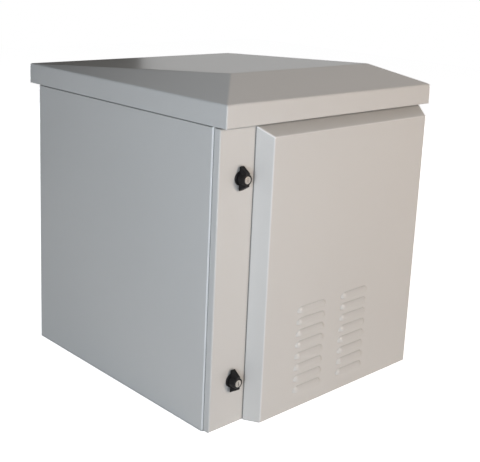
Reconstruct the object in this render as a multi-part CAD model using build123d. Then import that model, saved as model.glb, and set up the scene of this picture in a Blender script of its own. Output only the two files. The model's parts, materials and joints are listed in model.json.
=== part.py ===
from build123d import *
import os

# Frame: x to the right seen from the door, y to the rear, z up.
# The origin is the centre of the underside of the cabinet body.

# Cabinet body, whose width and height follow from the rack inside it
overall_depth = 600.0
rack_opening = 450.0
rack_units = 12
rack_unit = 44.45
rail_side_room = 36.5
rail_foot = 31.0
rail_head_room = 41.6
sheet = 1.5
bend_radius = 1.5
side_front_return = 25.0
side_rear_return = 20.0
tray_lip = 20.0
corner_relief = 3.0
hole_clearance = 0.2

# Door leaf, a folded pan over the whole front
leaf_depth = 15.0
leaf_gap = 1.0
leaf_side_margin = 3.0
leaf_foot_gap = 2.0
leaf_cap_gap = 4.0

# Frame round the opening, its lip and the foam seal on the door
frame_width = 28.0
frame_side_gap = 2.0
lip_reach = 6.0
seal_width = 10.0
seal_gap = 0.3
seal_corner = 12.0

# Raised cover on the door
lock_strip_width = 87.0
cover_raise = 34.0
cover_bevel = 19.0
cover_flange = 14.0
cover_edge_radius = 2.0
cover_stud_radius = 2.5
cover_stud_inset = 8.0
cover_stud_end = 70.0
cover_stud_length = 8.0
cover_nut_height = 4.0
cover_nut_flats = 8.0

# Louvres pressed out of the cover
louvre_rows = 8
louvre_pitch = 24.8
louvre_length = 85.0
louvre_height = 12.0
louvre_depth = 5.5
louvre_bottom = 39.0
louvre_left_margin = 109.0
louvre_column_gap = 48.5

# Vent opening of the leaf and its filter
vent_margin = 6.0
vent_foot_rise = 21.0
filter_overlap = 10.0
filter_thickness = 9.0
filter_sheet = 1.2
filter_flange = 12.0
filter_panes = 4
filter_bar_width = 8.0
filter_stud_radius = 2.0
filter_stud_length = 8.0
filter_nut_height = 3.5
filter_nut_flats = 7.0

# Rain cap
cap_side_overhang = 3.0
cap_front_overhang = 22.0
wall_standoff = 34.0
fascia_height = 43.0
cap_overlap = 16.0
ridge_rise = 39.0
ridge_setback = 100.0
ridge_end_inset = 99.0
cap_edge_radius = 3.0
drip_return = 12.0
vent_slot_length = 110.0
vent_slot_width = 6.0
vent_slot_pitch = 16.0
vent_slot_rows = 7
vent_slot_offset = 120.0

# Cap brackets and their bolts
cap_bracket_length = 50.0
cap_bracket_leg = 34.0
cap_bracket_rise = 20.0
cap_bracket_sheet = 2.0
cap_bracket_inset = 90.0
weld_nut_radius = 7.0
weld_nut_height = 5.0
m6_radius = 3.0
m6_flats = 10.0
m6_head_height = 4.0
m6_nut_height = 5.0
m6_tip = 1.0

# Rack rails for equipment of the 482.6 mm width
rack_hole_inset = 7.55
rack_hole_side = 9.5
rack_hole_step = 15.875
rail_end_margin = 6.0
rail_sheet = 2.0
rail_face_width = 37.0
rail_web = 40.0
rail_front_setback = 60.0
rail_rear_setback = 90.0

# Depth bars that carry the rails
support_web = 40.0
support_flange = 12.0
support_foot = 100.0
support_head = 118.0
support_end_gap = 12.0

# Wall brackets, hat sections across the back
wall_bracket_length = 520.0
wall_bracket_web = 50.0
wall_bracket_flange = 20.0
wall_bracket_sheet = 2.0
wall_hole_radius = 6.0
wall_hole_spacing = 400.0
wall_hole_foot = 80.0
wall_hole_head = 98.0
wall_bracket_rivet_pitch = 240.0
rivet_shank_radius = 2.4
rivet_head_radius = 4.5
rivet_head_height = 1.2
rivet_tail_radius = 3.2
rivet_tail_height = 2.5

# Cable entry in the floor
entry_width = 170.0
entry_depth = 70.0
entry_setback = 80.0
gland_margin = 15.0
gland_sheet = 2.0
gland_corner = 4.0
grommet_spacing = 80.0
grommet_bore = 12.0
grommet_neck = 15.0
grommet_flange = 20.0
grommet_lower_height = 1.2
grommet_upper_height = 2.0
entry_screw_radius = 2.0
entry_screw_head_radius = 3.6
entry_screw_head_height = 2.0

# Earth terminal
earth_stud_radius = 4.0
earth_stud_height = 24.0
earth_collar_radius = 7.0
earth_collar_height = 3.0
earth_nut_flats = 13.0
earth_nut_height = 6.5
earth_inset = 55.0

# Weld-on hinges outside the right side panel
hinge_barrel_radius = 5.5
hinge_pin_radius = 3.0
hinge_pin_clearance = 0.05
hinge_pin_head_radius = 4.6
hinge_pin_head_height = 2.0
hinge_height = 66.0
hinge_knuckle_gap = 0.4
hinge_side_gap = 0.5
hinge_leaf_sheet = 2.5
hinge_body_leaf_reach = 40.0
hinge_door_leaf_width = 11.0
hinge_axis_depth = 8.0
hinge_end_inset = 96.0

# Wing knob locks
lock_end_inset = 96.0
lock_inset = 54.0
lock_collar_radius = 14.0
lock_collar_height = 3.0
lock_collar_chamfer = 1.0
lock_barrel_radius = 9.0
lock_barrel_length = 17.0
lock_nut_flats = 24.0
lock_nut_height = 4.0
spindle_radius = 5.0
running_clearance = 0.05
face_clearance = 0.3
spindle_square = 7.0
spindle_thread_radius = 3.0
spindle_thread_length = 7.0
knob_reach = 17.0
knob_hub_radius = 11.0
knob_base_half = 23.5
knob_face_half = 13.5
knob_thickness = 12.0
knob_round = 3.0
knob_edge = 1.2
key_radius = 7.25
key_depth = 12.0
key_proud = 0.6
key_chamfer = 0.6
keyway_width = 1.8
keyway_height = 8.0
keyway_depth = 6.0
cam_width = 16.0
cam_length = 46.0
cam_thickness = 3.0
cam_clearance = 1.5
cam_tip_radius = 3.0
cam_nut_flats = 10.0
cam_nut_height = 5.0

# How far a cutter runs past the face it opens, and the turns of the working planes
cut_past = 1.0
quarter_turn = 90
half_turn = 180

# Planes and edges that several pieces share
rail_outer_half = rack_opening / 2 + rail_face_width
inner_half = rail_outer_half + rail_side_room
half_width = inner_half + sheet
rail_length = rack_units * rack_unit + 2 * rail_end_margin
body_height = rail_foot + rail_length + rail_head_room
rear = overall_depth / 2
leaf_front = -overall_depth / 2
leaf_inner = leaf_front + sheet
leaf_rear = leaf_front + leaf_depth
body_front = leaf_rear + leaf_gap
frame_rear = body_front + 2 * sheet
back_inner = rear - 2 * sheet
back_outer = rear - sheet
wall_plane = rear + wall_standoff
leaf_half = half_width - leaf_side_margin
eave_bottom = body_height - cap_overlap
leaf_bottom = leaf_foot_gap
leaf_top = eave_bottom - leaf_cap_gap
leaf_middle = (leaf_bottom + leaf_top) / 2
deck_under = body_height - sheet
frame_half = inner_half - frame_side_gap
opening_half = frame_half - frame_width
opening_bottom = leaf_bottom + frame_width
opening_top = leaf_top - frame_width
lip_front = body_front - lip_reach
eave_top = eave_bottom + fascia_height
ridge_top = eave_top + ridge_rise
cap_half = half_width + cap_side_overhang
cap_front = leaf_front - cap_front_overhang
cap_bolt_x = cap_half - sheet - cap_bracket_leg + weld_nut_radius
front_rail_face = body_front + rail_front_setback
rear_rail_face = rear - rail_rear_setback
support_heights = (support_foot, body_height - support_head)
wall_bracket_heights = (wall_hole_foot, body_height - wall_hole_head)
entry_y = rear - entry_setback
earth_x = -inner_half + earth_inset
earth_y = frame_rear + earth_inset
cover_left = -leaf_half + lock_strip_width
cover_front = leaf_front - cover_raise
louvre_left = cover_left + louvre_left_margin + louvre_length / 2
louvre_columns = (louvre_left, louvre_left + louvre_length + louvre_column_gap)
louvre_top = louvre_bottom + (louvre_rows - 1) * louvre_pitch + louvre_height
vent_centre = sum(louvre_columns) / 2
vent_width = louvre_column_gap + 2 * louvre_length + 2 * vent_margin
vent_bottom = louvre_bottom + vent_foot_rise
vent_height = louvre_top - vent_bottom
vent_middle = vent_bottom + vent_height / 2
hinge_x = half_width + hinge_side_gap + hinge_barrel_radius
hinge_y = leaf_front + hinge_axis_depth
hinge_heights = (leaf_bottom + hinge_end_inset, leaf_top - hinge_end_inset)
lock_x = -leaf_half + lock_inset
lock_heights = (leaf_bottom + lock_end_inset, leaf_top - lock_end_inset)
cam_front = frame_rear + cam_clearance
knob_rear = leaf_front - lock_collar_height - face_clearance
knob_front = knob_rear - knob_reach

turns = {"X": (0, quarter_turn, 0), "Y": (-quarter_turn, 0, 0), "Z": (0, 0, 0)}


def block(x_from, x_to, y_from, y_to, z_from, z_to):
    centre = Pos((x_from + x_to) / 2, (y_from + y_to) / 2, (z_from + z_to) / 2)
    return centre * Box(x_to - x_from, y_to - y_from, z_to - z_from)


def rod(x, y, z, radius, length, along="Z"):
    base = (Align.CENTER, Align.CENTER, Align.MIN)
    return Location((x, y, z), turns[along]) * Cylinder(radius, length, align=base)


def drill(x, y, z, radius, reach, along="Z"):
    # cutter centred on a sheet, long enough to pass through it both ways
    return Location((x, y, z), turns[along]) * Cylinder(radius, 2 * reach)


def hexagon(x, y, z, flats, length, along="Z"):
    outline = RegularPolygon(flats / 2, 6, major_radius=False)
    return Location((x, y, z), turns[along]) * extrude(outline, length)


def folded(points, plane, length, thickness=sheet):
    # sheet folded along a line of points at mid thickness
    line = FilletPolyline(*points, radius=bend_radius + thickness / 2)
    section = trace(line, line_width=thickness)
    return extrude(plane * section, length)


def tray(half_x, y_from, y_to, height, thickness=sheet):
    # folded tray with its floor at zero and its lips upward
    outer = block(-half_x, half_x, y_from, y_to, 0, height)
    floor_edges = outer.faces().sort_by(Axis.Z)[0].edges()
    outer = fillet(floor_edges, bend_radius + thickness)
    hollow = block(-half_x + thickness, half_x - thickness, y_from + thickness,
                   y_to - thickness, thickness, height + thickness)
    hollow_edges = hollow.faces().sort_by(Axis.Z)[0].edges()
    return outer - fillet(hollow_edges, bend_radius)


def keep_inside(solid, origin, normal, offset=0):
    # part of a solid on the inner side of a plane
    cutter = Plane(origin=origin, z_dir=normal).offset(-offset)
    return split(solid, bisect_by=cutter, keep=Keep.BOTTOM)


def side_panel(side):
    edge = side * (half_width - sheet / 2)
    points = [(side * (half_width - side_front_return), body_front + sheet / 2),
              (edge, body_front + sheet / 2),
              (edge, rear - sheet / 2),
              (side * (half_width - side_rear_return), rear - sheet / 2)]
    return folded(points, Plane.XY, body_height)


def wall_hole_places():
    # the four wall bolts pass through the back panel and the brackets
    for x in (-wall_hole_spacing / 2, wall_hole_spacing / 2):
        for z in wall_bracket_heights:
            yield x, z


def bracket_rivet_places():
    reach = wall_bracket_web / 2 + wall_bracket_flange / 2
    for height in wall_bracket_heights:
        for z in (height - reach, height + reach):
            for step in (-1, 0, 1):
                yield step * wall_bracket_rivet_pitch, z


def back_panel():
    half = inner_half - corner_relief
    panel = block(-half, half, back_inner, back_outer, 0, body_height)
    for x, z in wall_hole_places():
        panel -= drill(x, back_inner, z, wall_hole_radius, 2 * sheet, "Y")
    for x, z in bracket_rivet_places():
        panel -= drill(x, back_inner, z, rivet_shank_radius + hole_clearance, 2 * sheet, "Y")
    return panel


def grommet_places():
    return [side * grommet_spacing / 2 for side in (-1, 1)]


def entry_screw_places():
    half_x = entry_width / 2 + gland_margin / 2
    half_y = entry_depth / 2 + gland_margin / 2
    for x in (-half_x, half_x):
        for y in (entry_y - half_y, entry_y + half_y):
            yield x, y


def base_panel():
    floor = tray(inner_half, frame_rear, back_inner, tray_lip)
    floor -= block(-entry_width / 2, entry_width / 2, entry_y - entry_depth / 2,
                   entry_y + entry_depth / 2, -sheet, 2 * sheet)
    for x, y in entry_screw_places():
        floor -= drill(x, y, 0, entry_screw_radius + hole_clearance, 2 * sheet)
    return floor


def cap_bracket_places():
    for side in (-1, 1):
        for y in (frame_rear + cap_bracket_inset, back_inner - cap_bracket_inset):
            yield side, y


def top_panel():
    deck = Pos(0, 0, body_height) * Rot(half_turn, 0, 0) * tray(
        inner_half, -back_inner, -frame_rear, tray_lip)
    slot = extrude(SlotOverall(vent_slot_length, vent_slot_width), 3 * sheet)
    for column in (-vent_slot_offset, vent_slot_offset):
        for row in range(vent_slot_rows):
            y = (row - (vent_slot_rows - 1) / 2) * vent_slot_pitch
            deck -= Pos(column, y, deck_under - sheet) * slot
    for side, y in cap_bracket_places():
        deck -= drill(side * cap_bolt_x, y, deck_under, m6_radius + hole_clearance, 2 * sheet)
    return deck


def frame_ring():
    # flat flange behind the side returns, and the lip that presses on the seal
    plate = block(-frame_half, frame_half, body_front + sheet, frame_rear,
                  leaf_bottom, leaf_top)
    lip = block(-opening_half, opening_half, lip_front, frame_rear,
                opening_bottom, opening_top)
    hole = block(-opening_half + sheet, opening_half - sheet, lip_front - sheet,
                 frame_rear + sheet, opening_bottom + sheet, opening_top - sheet)
    return plate + lip - hole


def frame_member(place):
    # the ring is mitred at its corners into four welded members
    reach = frame_width + 3 * sheet
    outer = {"low left": (-frame_half, leaf_bottom), "low right": (frame_half, leaf_bottom),
             "high left": (-frame_half, leaf_top), "high right": (frame_half, leaf_top)}
    inner = {"low left": (-frame_half + reach, leaf_bottom + reach),
             "low right": (frame_half - reach, leaf_bottom + reach),
             "high left": (-frame_half + reach, leaf_top - reach),
             "high right": (frame_half - reach, leaf_top - reach)}
    first, second = {"left": ("low left", "high left"), "right": ("low right", "high right"),
                     "top": ("high left", "high right"), "bottom": ("low left", "low right")}[place]
    outline = make_face(Polyline(outer[first], inner[first], inner[second], outer[second],
                                 close=True))
    wedge = extrude(Plane.XZ.offset(-frame_rear - sheet) * outline, 2 * lip_reach + 4 * sheet)
    return frame_ring() & wedge


def cap_form(inset):
    # outer form of the cap, drawn in by a wall thickness
    half = cap_half - inset
    bottom = eave_bottom - inset
    form = block(-half, half, cap_front + inset, wall_plane - inset, bottom, ridge_top)
    rear_run = wall_plane - cap_front - ridge_setback
    form = keep_inside(form, (0, cap_front, eave_top), (0, -ridge_rise, ridge_setback), inset)
    form = keep_inside(form, (0, wall_plane, eave_top), (0, ridge_rise, rear_run), inset)
    for side in (-1, 1):
        form = keep_inside(form, (side * cap_half, 0, eave_top),
                           (side * ridge_rise, 0, ridge_end_inset), inset)
    return form


def roof_cap():
    outer = cap_form(0)
    outer = fillet(outer.edges().filter_by(Axis.Z), cap_edge_radius)
    cap = outer - cap_form(sheet)
    half = cap_half - sheet
    for y in (cap_front + sheet, wall_plane - sheet - drip_return):
        cap += block(-half, half, y, y + drip_return, eave_bottom, eave_bottom + sheet)
    return cap


def cap_bracket(side, y):
    # angle welded inside the fascia, with a weld nut on its foot
    outer = cap_half - sheet
    mid = cap_bracket_sheet / 2
    points = [(side * (outer - cap_bracket_leg), body_height + mid),
              (side * (outer - mid), body_height + mid),
              (side * (outer - mid), body_height + cap_bracket_rise)]
    start = Plane.XZ.offset(-y - cap_bracket_length / 2)
    bracket = folded(points, start, cap_bracket_length, cap_bracket_sheet)
    foot_top = body_height + cap_bracket_sheet
    bracket += rod(side * cap_bolt_x, y, foot_top, weld_nut_radius, weld_nut_height)
    return bracket - drill(side * cap_bolt_x, y, foot_top, m6_radius + hole_clearance,
                           weld_nut_height + sheet)


def cap_bolts():
    length = sheet + cap_bracket_sheet + weld_nut_height
    bolts = []
    for side, y in cap_bracket_places():
        head = hexagon(side * cap_bolt_x, y, deck_under - m6_head_height, m6_flats,
                       m6_head_height)
        bolts.append(head + rod(side * cap_bolt_x, y, deck_under, m6_radius, length))
    return Compound(bolts)


def rail_face(place):
    return front_rail_face if place == "front" else rear_rail_face


def rail_bolt_y(place):
    inward = 1 if place == "front" else -1
    return rail_face(place) + inward * rail_web / 2


def rack_rail(side, place):
    # the front rails face the door and the rear rails face the back
    inward = 1 if place == "front" else -1
    face = rail_face(place)
    mid = rail_sheet / 2
    points = [(side * rack_opening / 2, face + inward * mid),
              (side * (rail_outer_half - mid), face + inward * mid),
              (side * (rail_outer_half - mid), face + inward * rail_web)]
    rail = folded(points, Plane.XY.offset(rail_foot), rail_length, rail_sheet)
    first = rail_foot + rail_end_margin + (rack_unit - 2 * rack_hole_step) / 2
    holes = []
    for unit in range(rack_units):
        for step in range(3):
            z = first + unit * rack_unit + step * rack_hole_step
            holes.append(Pos(side * (rack_opening / 2 + rack_hole_inset), face, z) * Box(
                rack_hole_side, 4 * rail_sheet, rack_hole_side))
    rail -= holes
    for z in support_heights:
        rail -= drill(side * rail_outer_half, rail_bolt_y(place), z,
                      m6_radius + hole_clearance, 2 * rail_sheet, "X")
    return rail


def rail_support(side, height):
    # hat section from the frame to the back, welded to the side panel
    mid = sheet / 2
    wall = side * (inner_half - mid)
    face = side * (rail_outer_half + mid)
    low = height - support_web / 2
    high = height + support_web / 2
    points = [(wall, low - support_flange), (wall, low), (face, low), (face, high),
              (wall, high), (wall, high + support_flange)]
    start = frame_rear + support_end_gap
    finish = back_inner - support_end_gap
    bar = folded(points, Plane.XZ.offset(-finish), finish - start)
    for place in ("front", "rear"):
        bar -= drill(side * rail_outer_half, rail_bolt_y(place), height,
                     m6_radius + hole_clearance, 2 * sheet, "X")
    return bar


def rail_fasteners(make):
    # one fastener on each crossing of a rail and a support
    fasteners = []
    for place in ("front", "rear"):
        for height in support_heights:
            fastener = make(rail_bolt_y(place), height)
            fasteners += [fastener, mirror(fastener, Plane.YZ)]
    return Compound(fasteners)


def rail_bolt(y, z):
    head_face = rail_outer_half - rail_sheet
    head = hexagon(head_face - m6_head_height, y, z, m6_flats, m6_head_height, "X")
    length = rail_sheet + sheet + m6_nut_height + m6_tip
    return head + rod(head_face, y, z, m6_radius, length, "X")


def rail_nut(y, z):
    nut = hexagon(rail_outer_half + sheet, y, z, m6_flats, m6_nut_height, "X")
    return nut - drill(rail_outer_half, y, z, m6_radius + hole_clearance, 2 * m6_nut_height, "X")


def wall_bracket(height):
    # hat section that stands the cabinet off the wall
    mid = wall_bracket_sheet / 2
    foot = back_outer + mid
    face = wall_plane - mid
    low = height - wall_bracket_web / 2
    high = height + wall_bracket_web / 2
    points = [(foot, low - wall_bracket_flange), (foot, low), (face, low), (face, high),
              (foot, high), (foot, high + wall_bracket_flange)]
    start = Plane.YZ.offset(-wall_bracket_length / 2)
    bracket = folded(points, start, wall_bracket_length, wall_bracket_sheet)
    for x, z in wall_hole_places():
        bracket -= drill(x, wall_plane, z, wall_hole_radius, 2 * wall_bracket_sheet, "Y")
    for x, z in bracket_rivet_places():
        bracket -= drill(x, foot, z, rivet_shank_radius + hole_clearance,
                         2 * wall_bracket_sheet, "Y")
    return bracket


def wall_bracket_rivets():
    # blind rivets, head on the bracket and tail inside the back panel
    rivets = []
    grip = sheet + wall_bracket_sheet
    for x, z in bracket_rivet_places():
        tail = rod(x, back_inner - rivet_tail_height, z, rivet_tail_radius,
                   rivet_tail_height, "Y")
        shank = rod(x, back_inner, z, rivet_shank_radius, grip, "Y")
        head = rod(x, back_inner + grip, z, rivet_head_radius, rivet_head_height, "Y")
        rivets.append(tail + shank + head)
    return Compound(rivets)


def gland_plate():
    half_x = entry_width / 2 + gland_margin
    half_y = entry_depth / 2 + gland_margin
    plate = block(-half_x, half_x, entry_y - half_y, entry_y + half_y, sheet,
                  sheet + gland_sheet)
    plate = fillet(plate.edges().filter_by(Axis.Z), gland_corner)
    for x in grommet_places():
        plate -= drill(x, entry_y, sheet, grommet_neck, 2 * gland_sheet)
    for x, y in entry_screw_places():
        plate -= drill(x, y, sheet, entry_screw_radius + hole_clearance, 2 * gland_sheet)
    return plate


def cable_grommet(x):
    # rubber bush snapped into the plate, turned from one profile
    low = sheet - grommet_lower_height
    high = sheet + gland_sheet
    points = [(grommet_bore, low), (grommet_flange, low), (grommet_flange, sheet),
              (grommet_neck, sheet), (grommet_neck, high), (grommet_flange, high),
              (grommet_neck, high + grommet_upper_height),
              (grommet_bore, high + grommet_upper_height)]
    profile = Plane.XZ * make_face(Polyline(*points, close=True))
    return Pos(x, entry_y, 0) * revolve(profile, Axis.Z)


def gland_plate_screws():
    screws = []
    top = sheet + gland_sheet
    for x, y in entry_screw_places():
        shank = rod(x, y, face_clearance, entry_screw_radius, top - face_clearance)
        head = rod(x, y, top, entry_screw_head_radius, entry_screw_head_height)
        screws.append(shank + head)
    return Compound(screws)


def earth_stud():
    collar = rod(earth_x, earth_y, sheet, earth_collar_radius, earth_collar_height)
    return collar + rod(earth_x, earth_y, sheet, earth_stud_radius, earth_stud_height)


def earth_nut():
    seat = sheet + earth_collar_height
    nut = hexagon(earth_x, earth_y, seat, earth_nut_flats, earth_nut_height)
    return nut - drill(earth_x, earth_y, seat, earth_stud_radius + hole_clearance,
                       2 * earth_nut_height)


def knuckle_height():
    return (hinge_height - 2 * hinge_knuckle_gap) / 3


def hinge_bore(middle):
    return drill(hinge_x, hinge_y, middle, hinge_pin_radius + hinge_pin_clearance, hinge_height)


def hinge_body_leaf(middle):
    # two knuckles on a plate welded to the side panel, notched for the third knuckle
    low = middle - hinge_height / 2
    high = middle + hinge_height / 2
    plate = block(half_width, half_width + hinge_leaf_sheet, hinge_y,
                  body_front + hinge_body_leaf_reach, low, high)
    notch = knuckle_height() / 2 + hinge_knuckle_gap
    plate -= block(half_width - cut_past, half_width + hinge_leaf_sheet + cut_past,
                   hinge_y - cut_past, hinge_y + hinge_barrel_radius + cut_past,
                   middle - notch, middle + notch)
    for z in (low, high - knuckle_height()):
        plate += rod(hinge_x, hinge_y, z, hinge_barrel_radius, knuckle_height())
    return plate - hinge_bore(middle)


def hinge_door_leaf(middle):
    # one knuckle on a plate welded to the return of the door leaf
    half_y = hinge_door_leaf_width / 2
    outer = leaf_half + hinge_leaf_sheet
    plate = block(leaf_half, outer, hinge_y - half_y, hinge_y + half_y,
                  middle - hinge_height / 2, middle + hinge_height / 2)
    half_z = knuckle_height() / 2
    web = block(leaf_half, hinge_x, hinge_y - hinge_leaf_sheet / 2,
                hinge_y + hinge_leaf_sheet / 2, middle - half_z, middle + half_z)
    barrel = rod(hinge_x, hinge_y, middle - half_z, hinge_barrel_radius, knuckle_height())
    return plate + web + barrel - hinge_bore(middle)


def hinge_pin(middle):
    low = middle - hinge_height / 2
    pin = rod(hinge_x, hinge_y, low, hinge_pin_radius, hinge_height)
    return pin + rod(hinge_x, hinge_y, middle + hinge_height / 2, hinge_pin_head_radius,
                     hinge_pin_head_height)


def cover_stud_places():
    left = cover_left + cover_stud_inset
    right = leaf_half - cover_stud_inset
    reach = (leaf_top - leaf_bottom) / 2 - cover_stud_end
    for x in (left, right):
        for z in (leaf_middle - reach, leaf_middle, leaf_middle + reach):
            yield x, z
    for z in (leaf_bottom + cover_stud_inset, leaf_top - cover_stud_inset):
        yield (left + right) / 2, z


def filter_stud_places():
    half_x = vent_width / 2 + filter_overlap + filter_flange / 2
    for x in (vent_centre - half_x, vent_centre + half_x):
        for z in (vent_middle - vent_height / 3, vent_middle + vent_height / 3):
            yield x, z


def door_leaf():
    pan = Pos(0, leaf_front, 0) * Rot(-quarter_turn, 0, 0) * tray(
        leaf_half, -leaf_top, -leaf_bottom, leaf_depth)
    pan -= block(vent_centre - vent_width / 2, vent_centre + vent_width / 2,
                 leaf_front - sheet, leaf_inner + sheet, vent_bottom,
                 vent_bottom + vent_height)
    for z in lock_heights:
        pan -= drill(lock_x, leaf_front, z, lock_barrel_radius + hole_clearance, 2 * sheet, "Y")
    for x, z in cover_stud_places():
        pan -= drill(x, leaf_front, z, cover_stud_radius + hole_clearance, 2 * sheet, "Y")
    for x, z in filter_stud_places():
        pan += rod(x, leaf_inner, z, filter_stud_radius, filter_stud_length, "Y")
    return pan


def cover_form(inset):
    # box with three bevelled sides and a straight foot, drawn in by a wall thickness
    form = block(cover_left + inset, leaf_half - inset, cover_front + inset,
                 leaf_front - inset, leaf_bottom + inset, leaf_top - inset)
    form = keep_inside(form, (cover_left, leaf_front, 0), (-cover_raise, -cover_bevel, 0), inset)
    form = keep_inside(form, (leaf_half, leaf_front, 0), (cover_raise, -cover_bevel, 0), inset)
    return keep_inside(form, (0, leaf_front, leaf_top), (0, -cover_bevel, cover_raise), inset)


def louvre(inset):
    # quarter-round hood with rounded ends, open below; the inset one is its hollow
    depth = louvre_depth - inset
    height = louvre_height - inset
    back = 2 * inset if inset else sheet / 2
    curve = EllipticalCenterArc((0, 0), depth, height, start_angle=quarter_turn,
                                arc_size=quarter_turn)
    sides = Polyline((-depth, 0), (back, 0), (back, height), (0, height))
    profile = Plane.YZ * make_face(curve + sides)
    half = louvre_length / 2 - louvre_height
    hood = extrude(Plane.YZ.offset(-half) * make_face(curve + sides), 2 * half)
    for side in (-1, 1):
        end = Pos(side * half, 0, 0) * revolve(profile, Axis.Y, revolution_arc=side * quarter_turn)
        hood += end
    return hood


def louvre_places():
    for x in louvre_columns:
        for row in range(louvre_rows):
            yield Pos(x, cover_front, louvre_bottom + row * louvre_pitch)


def door_cover():
    outer = cover_form(0)
    rims = outer.edges() - outer.faces().sort_by(Axis.Y)[-1].edges()
    outer = fillet(rims, cover_edge_radius)
    window = block(cover_left + cover_flange, leaf_half - cover_flange, leaf_front - 2 * sheet,
                   leaf_front + sheet, leaf_bottom + cover_flange, leaf_top - cover_flange)
    cover = outer - cover_form(sheet) - window
    hood = louvre(0)
    hollow = louvre(sheet)
    cover += [place * hood for place in louvre_places()]
    cover -= [place * hollow for place in louvre_places()]
    for x, z in cover_stud_places():
        cover += rod(x, leaf_front, z, cover_stud_radius, cover_stud_length, "Y")
    return cover


def cover_nuts():
    nuts = []
    for x, z in cover_stud_places():
        nut = hexagon(x, leaf_inner, z, cover_nut_flats, cover_nut_height, "Y")
        nuts.append(nut - drill(x, leaf_inner, z, cover_stud_radius + hole_clearance,
                                2 * cover_nut_height, "Y"))
    return Compound(nuts)


def door_seal():
    # foam ring under the lip of the frame
    half = seal_width / 2
    across = 2 * (opening_half - sheet / 2)
    tall = opening_top - opening_bottom - sheet
    ring = RectangleRounded(across + seal_width, tall + seal_width, seal_corner)
    ring -= Rectangle(across - seal_width, tall - seal_width)
    depth = lip_front - seal_gap - leaf_inner
    start = Plane.XZ.offset(-leaf_inner - depth)
    return extrude(start * Pos(0, leaf_middle) * ring, depth)


def filter_mat():
    half_x = vent_width / 2 + filter_overlap - filter_sheet
    half_z = vent_height / 2 + filter_overlap - filter_sheet
    return block(vent_centre - half_x, vent_centre + half_x, leaf_inner,
                 leaf_inner + filter_thickness, vent_middle - half_z, vent_middle + half_z)


def filter_frame():
    # pressed holder over the mat, with a barred window and a screwed flange
    half_x = vent_width / 2 + filter_overlap
    half_z = vent_height / 2 + filter_overlap
    outer_y = leaf_inner + filter_thickness + filter_sheet
    pan = block(vent_centre - half_x, vent_centre + half_x, leaf_inner, outer_y,
                vent_middle - half_z, vent_middle + half_z)
    pan += block(vent_centre - half_x - filter_flange, vent_centre + half_x + filter_flange,
                 leaf_inner, leaf_inner + filter_sheet, vent_middle - half_z,
                 vent_middle + half_z)
    pan -= block(vent_centre - half_x + filter_sheet, vent_centre + half_x - filter_sheet,
                 leaf_inner - cut_past, leaf_inner + filter_thickness,
                 vent_middle - half_z + filter_sheet, vent_middle + half_z - filter_sheet)
    pane = (vent_width - (filter_panes - 1) * filter_bar_width) / filter_panes
    for column in range(filter_panes):
        left = vent_centre - vent_width / 2 + column * (pane + filter_bar_width)
        pan -= block(left, left + pane, leaf_inner, outer_y + cut_past,
                     vent_middle - vent_height / 2, vent_middle + vent_height / 2)
    for x, z in filter_stud_places():
        pan -= drill(x, leaf_inner, z, filter_stud_radius + hole_clearance,
                     2 * filter_sheet, "Y")
    return pan


def filter_nuts():
    nuts = []
    seat = leaf_inner + filter_sheet
    for x, z in filter_stud_places():
        nut = hexagon(x, seat, z, filter_nut_flats, filter_nut_height, "Y")
        nuts.append(nut - drill(x, seat, z, filter_stud_radius + hole_clearance,
                                2 * filter_nut_height, "Y"))
    return Compound(nuts)


def lock_housing(z):
    # collar outside the leaf and a threaded barrel through it
    collar = rod(lock_x, leaf_front - lock_collar_height, z, lock_collar_radius,
                 lock_collar_height, "Y")
    collar = chamfer(collar.edges().group_by(Axis.Y)[0], lock_collar_chamfer)
    barrel = rod(lock_x, leaf_front, z, lock_barrel_radius, lock_barrel_length, "Y")
    return collar + barrel - drill(lock_x, leaf_front, z, spindle_radius + running_clearance,
                                   2 * lock_barrel_length, "Y")


def lock_nut(z):
    nut = hexagon(lock_x, leaf_inner, z, lock_nut_flats, lock_nut_height, "Y")
    return nut - drill(lock_x, leaf_inner, z, lock_barrel_radius + running_clearance,
                       2 * lock_nut_height, "Y")


def lock_knob(z):
    # wings that taper to the face, a round hub, and the spindle behind it
    points = [(knob_rear, -knob_base_half), (knob_front, -knob_face_half),
              (knob_front, knob_face_half), (knob_rear, knob_base_half)]
    wings = make_face(Polyline(*points, close=True))
    wings = fillet(wings.vertices().group_by(Axis.X)[0], knob_round)
    wings = extrude(Plane.YZ.offset(-knob_thickness / 2) * wings, knob_thickness)
    knob = Pos(lock_x, 0, z) * fillet(wings.edges().filter_by(Axis.X, reverse=True), knob_edge)
    knob += rod(lock_x, knob_front, z, knob_hub_radius, knob_reach, "Y")
    knob -= rod(lock_x, knob_front - cut_past, z, key_radius + running_clearance,
                cut_past + key_depth + face_clearance, "Y")
    knob += rod(lock_x, knob_rear, z, spindle_radius, cam_front - knob_rear, "Y")
    half = spindle_square / 2
    knob += block(lock_x - half, lock_x + half, cam_front, cam_front + cam_thickness,
                  z - half, z + half)
    thread = cam_front + cam_thickness
    return knob + rod(lock_x, thread, z, spindle_thread_radius, spindle_thread_length, "Y")


def key_cylinder(z):
    face = knob_front - key_proud
    plug = rod(lock_x, face, z, key_radius, key_depth + key_proud, "Y")
    plug = chamfer(plug.edges().group_by(Axis.Y)[0], key_chamfer)
    return plug - block(lock_x - keyway_width / 2, lock_x + keyway_width / 2, face - cut_past,
                        face + keyway_depth, z - keyway_height / 2, z + keyway_height / 2)


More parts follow.
